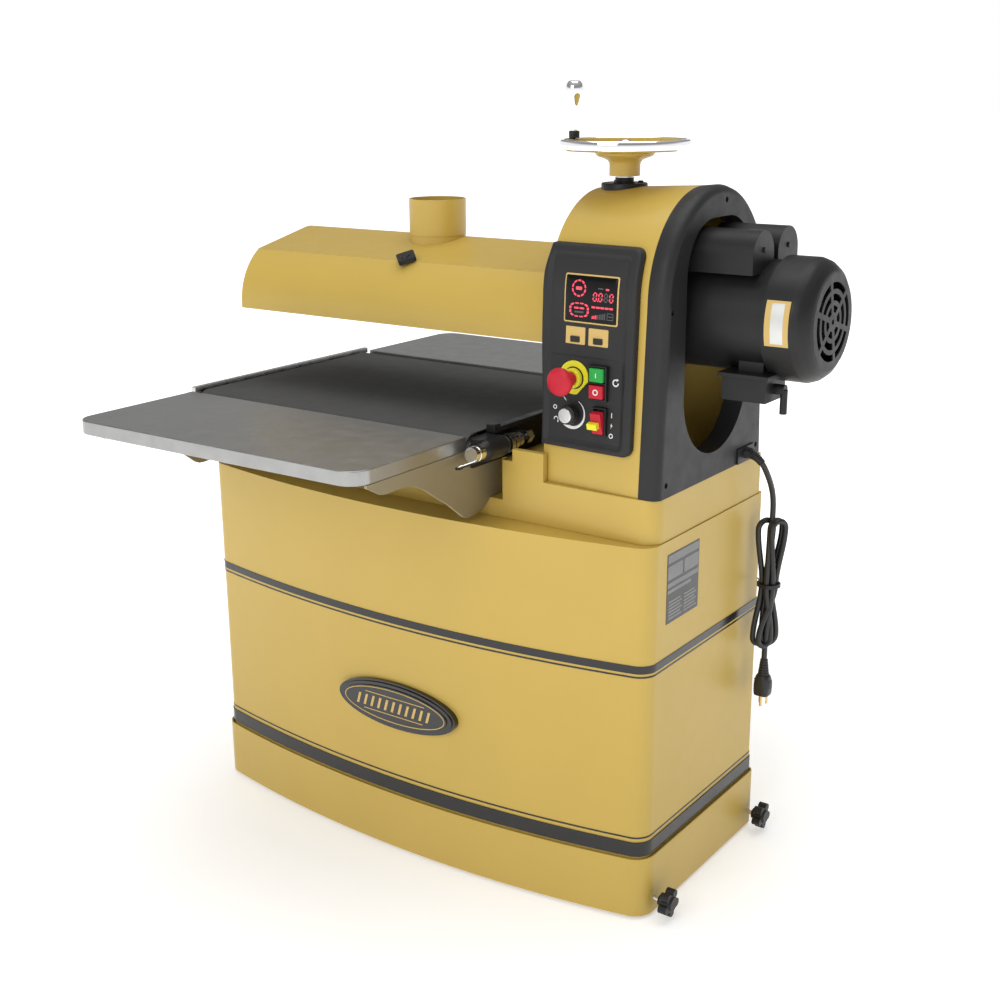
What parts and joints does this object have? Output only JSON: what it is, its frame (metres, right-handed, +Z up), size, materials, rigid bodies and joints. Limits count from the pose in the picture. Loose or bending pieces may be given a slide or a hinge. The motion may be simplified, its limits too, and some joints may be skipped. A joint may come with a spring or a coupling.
{
  "type": "drum sander",
  "caption": "Open-ended drum sander on a closed cabinet stand: conveyor belt, infeed and outfeed tables, hooded sanding drum with direct motor, lift handwheel and switch panel.",
  "frame": {"origin": "on the floor, under the drum's axis and midway between the left and right levelling feet", "axes": "+X towards the head and motor side, +Y towards the outfeed side, +Z up"},
  "size_m": [1.123, 1.006, 1.294],
  "materials": {
    "gold_paint": "semi-gloss, warm metallic tan",
    "black_film": "glossy printed film",
    "black_steel": "satin powder coat",
    "black_gloss": "high gloss",
    "black_texture": "fine matte grain",
    "gold_film": "satin print",
    "yellow_plastic": "satin",
    "red_plastic": "glossy",
    "green_plastic": "glossy",
    "steel_plain": "machined",
    "steel_brushed": "brushed, straight grain",
    "belt_rubber": "matte",
    "cord_rubber": "satin",
    "abrasive": "grit on cloth, wound in a spiral",
    "chrome": "polished",
    "plate_alu": "brushed",
    "black_plastic": "satin moulded"
  },
  "bodies": {
    "stand": {"cabinet": "gold_paint", "cabinet_decals": "black_film", "leveling_feet": "black_steel", "oval_badge": "black_gloss", "base_casting": "gold_paint", "head_housing": "gold_paint", "side_cover": "black_texture", "side_cover_screws": "black_steel", "control_panel": "black_texture", "display_frame": "gold_film", "display_glass": "black_gloss", "estop_collar": "yellow_plastic", "switch_block": "black_plastic", "screw_flange": "black_plastic", "lift_columns": "steel_plain", "conveyor_bed": "black_steel", "side_rails": "steel_plain", "conveyor_belt": "belt_rubber", "infeed_table": "steel_brushed", "outfeed_table": "steel_brushed", "table_brackets": "steel_plain", "roller_bearings": "black_steel", "conveyor_gearmotor": "black_steel", "cord_gland": "cord_rubber", "cord_lead": "cord_rubber", "cord_hank": "cord_rubber", "cord_tie": "cord_rubber", "cord_tail": "cord_rubber", "plug": "cord_rubber"},
    "carriage": {"drum_carriage": "black_steel", "hood_shell": "gold_paint", "end_support": "gold_paint", "motor_body": "black_steel", "capacitor_covers": "black_steel", "junction_box": "black_steel", "fan_cover": "black_steel", "nameplate": "plate_alu"},
    "wheel": {"handwheel": "gold_paint", "handwheel_rim": "chrome"},
    "crank": {"crank_handle": "chrome"},
    "drum_line": {"drum": "abrasive"},
    "front_roller": {"pressure_roller_front": "belt_rubber"},
    "rear_roller": {"pressure_roller_rear": "belt_rubber"},
    "lid": {"hood_lid": "gold_paint", "dust_port": "gold_paint"},
    "latch": {"hood_latch": "black_plastic"},
    "belt_drive": {"drive_roller": "steel_plain"},
    "belt_idler": {"idle_roller": "steel_plain"},
    "estop": {"estop_button": "red_plastic"},
    "start": {"start_button": "green_plastic"},
    "stop": {"stop_button": "red_plastic"},
    "left_key": {"key_left": "black_plastic"},
    "right_key": {"key_right": "black_plastic"},
    "dial": {"speed_dial": "black_plastic"},
    "toggle": {"toggle_switch": "red_plastic"},
    "floor_skirt": {"skirt": "gold_paint"},
    "knob_fr": {"knob_front_right": "black_plastic"},
    "knob_rr": {"knob_rear_right": "black_plastic"}
  },
  "joints": [
    {"name": "lift_wheel", "type": "hinge", "parent": "stand", "child": "wheel", "pos_m": [0.285, 0, 1.199], "axis": [0, 0, 1], "range_deg": [-28800, 0]},
    {"name": "head_lift", "type": "slide", "parent": "stand", "child": "carriage", "axis": [0, 0, 1], "range_m": [-0.128, 0]},
    {"name": "crank_spin", "type": "hinge", "parent": "wheel", "child": "crank", "pos_m": [0.192, 0, 1.25], "axis": [0, 0, 1], "continuous": true},
    {"name": "drum_spin", "type": "hinge", "parent": "carriage", "child": "drum_line", "pos_m": [0, 0, 0.956], "axis": [1, 0, 0], "continuous": true},
    {"name": "front_roller_spin", "type": "hinge", "parent": "carriage", "child": "front_roller", "pos_m": [0, -0.088, 0.91], "axis": [1, 0, 0], "continuous": true},
    {"name": "rear_roller_spin", "type": "hinge", "parent": "carriage", "child": "rear_roller", "pos_m": [0, 0.088, 0.91], "axis": [1, 0, 0], "continuous": true},
    {"name": "lid_hinge", "type": "hinge", "parent": "carriage", "child": "lid", "pos_m": [0, 0.1251, 0.963], "axis": [-1, 0, 0], "range_deg": [0, 80]},
    {"name": "latch_turn", "type": "hinge", "parent": "lid", "child": "latch", "pos_m": [-0.096, -0.068, 1.003], "axis": [0, -0.4067, 0.9136], "range_deg": [0, 90]},
    {"name": "belt_drive_spin", "type": "hinge", "parent": "stand", "child": "belt_drive", "pos_m": [0, 0.212, 0.743], "axis": [1, 0, 0], "continuous": true},
    {"name": "belt_idler_spin", "type": "hinge", "parent": "stand", "child": "belt_idler", "pos_m": [0, -0.212, 0.743], "axis": [1, 0, 0], "continuous": true},
    {"name": "estop_press", "type": "slide", "parent": "stand", "child": "estop", "axis": [0, 1, 0], "range_m": [0, 0.004], "stiffness_N_per_m": 1500},
    {"name": "start_press", "type": "slide", "parent": "stand", "child": "start", "axis": [0, 1, 0], "range_m": [0, 0.003], "stiffness_N_per_m": 1000},
    {"name": "stop_press", "type": "slide", "parent": "stand", "child": "stop", "axis": [0, 1, 0], "range_m": [0, 0.003], "stiffness_N_per_m": 1000},
    {"name": "left_key_press", "type": "slide", "parent": "stand", "child": "left_key", "axis": [0, 1, 0], "range_m": [0, 0.0015], "stiffness_N_per_m": 1500},
    {"name": "right_key_press", "type": "slide", "parent": "stand", "child": "right_key", "axis": [0, 1, 0], "range_m": [0, 0.0015], "stiffness_N_per_m": 1500},
    {"name": "dial_turn", "type": "hinge", "parent": "stand", "child": "dial", "pos_m": [0.3025, -0.185, 0.811], "axis": [0, -1, 0], "range_deg": [-270, 0]},
    {"name": "toggle_rock", "type": "hinge", "parent": "stand", "child": "toggle", "pos_m": [0.354, -0.179, 0.806], "axis": [1, 0, 0], "range_deg": [-28, 0]},
    {"name": "skirt_lift", "type": "slide", "parent": "stand", "child": "floor_skirt", "axis": [0, 0, 1], "range_m": [0, 0.06]},
    {"name": "knob_fr_turn", "type": "hinge", "parent": "floor_skirt", "child": "knob_fr", "pos_m": [0.48, -0.166, 0.031], "axis": [1, 0, 0], "continuous": true},
    {"name": "knob_rr_turn", "type": "hinge", "parent": "floor_skirt", "child": "knob_rr", "pos_m": [0.48, 0.176, 0.031], "axis": [1, 0, 0], "continuous": true}
  ],
  "couplings": [
    {"joint": "head_lift", "follows": "lift_wheel", "m_per_rad": 0.00025465},
    {"joint": "belt_idler_spin", "follows": "belt_drive_spin", "ratio": 1}
  ]
}
